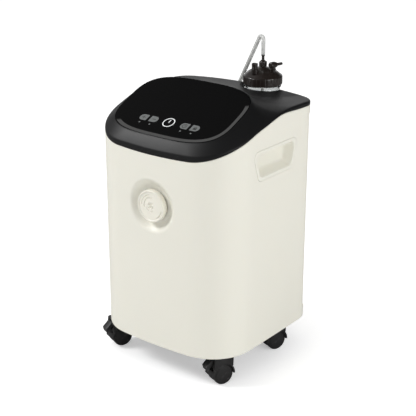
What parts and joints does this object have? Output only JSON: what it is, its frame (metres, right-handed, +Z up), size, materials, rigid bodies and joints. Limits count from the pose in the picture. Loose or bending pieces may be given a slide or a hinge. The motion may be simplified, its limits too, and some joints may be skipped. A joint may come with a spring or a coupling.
{
  "type": "oxygen concentrator",
  "caption": "Mobile home oxygen concentrator: white casing on swivel casters, sloping dark lid with a glass control panel, front flow knob, side hand grips and a rear bubble humidifier.",
  "frame": {"origin": "on the floor under the middle of the casing", "axes": "+Z up, -Y towards the front panel with the flow knob, +X to the right as seen from the front"},
  "size_m": [0.3212, 0.3432, 0.6084],
  "materials": {
    "white_casing": "warm white moulded plastic, satin with a very fine grain",
    "dark_cover": "charcoal moulded plastic, satin",
    "black_glass": "gloss black panel with printed touch keys",
    "circuit_board": "green circuit board",
    "zinc_screw": "zinc-plated screw",
    "steel_shaft": "ground steel",
    "machined_metal": "machined aluminium",
    "black_plastic": "black moulded plastic",
    "filter_foam": "dark open-cell foam",
    "switch_plastic": "gloss black",
    "clear_jar": "clear polycarbonate",
    "brown_plastic": "very dark brown moulded plastic",
    "soft_rubber": "soft black rubber",
    "pale_plastic": "pale moulded plastic",
    "clear_hose": "translucent silicone hose",
    "plated_steel": "zinc-plated sheet steel",
    "caster_plastic": "black nylon",
    "caster_tread": "black nylon wheel",
    "cast_aluminium": "cast aluminium",
    "coil_metal": "copper tube"
  },
  "bodies": {
    "casing": {"main_shell": "white_casing", "rear_cover": "white_casing", "grip_cup_left": "white_casing", "grip_cup_right": "white_casing", "top_cover": "dark_cover", "bottle_tray": "dark_cover", "glass_panel": "black_glass", "display_board": "circuit_board", "main_board": "circuit_board", "case_screws": "zinc_screw", "caster_screws": "zinc_screw", "flow_valve": "machined_metal", "valve_manifold": "machined_metal", "base_tray": "black_plastic", "power_inlet": "black_plastic", "breaker_body": "black_plastic", "cooling_fan_frame": "black_plastic", "oxygen_outlet": "black_plastic", "intake_filter": "filter_foam", "humidifier_jar": "clear_jar", "humidifier_cap": "brown_plastic", "inlet_barb": "brown_plastic", "patient_outlet": "brown_plastic", "cap_gasket": "soft_rubber", "isolation_mounts": "soft_rubber", "diffuser_tube": "pale_plastic", "bacteria_filter": "pale_plastic", "oxygen_hose": "clear_hose", "internal_hoses": "clear_hose", "caster_plates": "plated_steel", "compressor_deck": "plated_steel", "compressor_body": "cast_aluminium", "compressor_heads": "cast_aluminium", "sieve_beds": "cast_aluminium", "oxygen_tank": "cast_aluminium", "heat_exchanger": "coil_metal", "exhaust_muffler": "black_plastic"},
    "flow_knob": {"flow_knob": "white_casing", "valve_spindle": "steel_shaft"},
    "filter_door": {"filter_door": "black_plastic"},
    "power_rocker": {"power_rocker": "switch_plastic"},
    "breaker_button": {"breaker_button": "switch_plastic"},
    "inlet_nut": {"inlet_nut": "brown_plastic"},
    "relief_valve": {"relief_valve": "brown_plastic"},
    "cooling_fan": {"cooling_fan_rotor": "black_plastic"},
    "compressor_shaft": {"compressor_shaft": "steel_shaft"},
    "caster_fl": {"caster_housing_fl": "caster_plastic"},
    "wheels_fl": {"caster_wheels_fl": "caster_tread", "caster_axle_fl": "steel_shaft"},
    "caster_fr": {"caster_housing_fr": "caster_plastic"},
    "wheels_fr": {"caster_wheels_fr": "caster_tread", "caster_axle_fr": "steel_shaft"},
    "caster_rl": {"caster_housing_rl": "caster_plastic"},
    "wheels_rl": {"caster_wheels_rl": "caster_tread", "caster_axle_rl": "steel_shaft"},
    "caster_rr": {"caster_housing_rr": "caster_plastic"},
    "wheels_rr": {"caster_wheels_rr": "caster_tread", "caster_axle_rr": "steel_shaft"},
    "brake_fl": {"brake_lever_fl": "caster_plastic"},
    "brake_fr": {"brake_lever_fr": "caster_plastic"}
  },
  "joints": [
    {"name": "flow_knob_turn", "type": "hinge", "parent": "casing", "child": "flow_knob", "pos_m": [0, -0.145, 0.3415], "axis": [0, 1, 0], "range_deg": [0, 270]},
    {"name": "swivel_fl", "type": "hinge", "parent": "casing", "child": "caster_fl", "pos_m": [-0.126, -0.088, 0.055], "axis": [0, 0, 1], "continuous": true},
    {"name": "roll_fl", "type": "hinge", "parent": "caster_fl", "child": "wheels_fl", "pos_m": [-0.13118, -0.10101, 0.02], "axis": [0.9291, -0.3697, 0], "continuous": true},
    {"name": "swivel_fr", "type": "hinge", "parent": "casing", "child": "caster_fr", "pos_m": [0.126, -0.088, 0.055], "axis": [0, 0, 1], "continuous": true},
    {"name": "roll_fr", "type": "hinge", "parent": "caster_fr", "child": "wheels_fr", "pos_m": [0.12082, -0.10101, 0.02], "axis": [0.9291, -0.3697, 0], "continuous": true},
    {"name": "swivel_rl", "type": "hinge", "parent": "casing", "child": "caster_rl", "pos_m": [-0.126, 0.088, 0.055], "axis": [0, 0, 1], "continuous": true},
    {"name": "roll_rl", "type": "hinge", "parent": "caster_rl", "child": "wheels_rl", "pos_m": [-0.13118, 0.07499, 0.02], "axis": [0.9291, -0.3697, 0], "continuous": true},
    {"name": "swivel_rr", "type": "hinge", "parent": "casing", "child": "caster_rr", "pos_m": [0.126, 0.088, 0.055], "axis": [0, 0, 1], "continuous": true},
    {"name": "roll_rr", "type": "hinge", "parent": "caster_rr", "child": "wheels_rr", "pos_m": [0.12082, 0.07499, 0.02], "axis": [0.9291, -0.3697, 0], "continuous": true},
    {"name": "brake_fl_press", "type": "hinge", "parent": "caster_fl", "child": "brake_fl", "pos_m": [-0.13783, -0.11773, 0.051], "axis": [0.9291, -0.3697, 0], "range_deg": [0, 14]},
    {"name": "brake_fr_press", "type": "hinge", "parent": "caster_fr", "child": "brake_fr", "pos_m": [0.11417, -0.11773, 0.051], "axis": [0.9291, -0.3697, 0], "range_deg": [0, 14]},
    {"name": "filter_door_swing", "type": "hinge", "parent": "casing", "child": "filter_door", "pos_m": [-0.109, 0.1493, 0.26], "axis": [0, 0, 1], "range_deg": [0, 110]},
    {"name": "power_switch_tip", "type": "hinge", "parent": "casing", "child": "power_rocker", "pos_m": [-0.014, 0.1478, 0.118], "axis": [-1, 0, 0], "range_deg": [0, 14]},
    {"name": "breaker_push", "type": "slide", "parent": "casing", "child": "breaker_button", "axis": [0, -1, 0], "range_m": [0, 0.003]},
    {"name": "inlet_nut_turn", "type": "hinge", "parent": "casing", "child": "inlet_nut", "pos_m": [0.031, 0.15, 0.552], "axis": [0, 0, 1], "range_deg": [0, 90]},
    {"name": "relief_valve_lift", "type": "slide", "parent": "casing", "child": "relief_valve", "axis": [0, 0, 1], "range_m": [0, 0.003]},
    {"name": "cooling_fan_spin", "type": "hinge", "parent": "casing", "child": "cooling_fan", "pos_m": [0.042, -0.01, 0.285], "axis": [0, 0, 1], "continuous": true},
    {"name": "compressor_spin", "type": "hinge", "parent": "casing", "child": "compressor_shaft", "pos_m": [0.042, -0.01, 0.16], "axis": [1, 0, 0], "continuous": true}
  ]
}
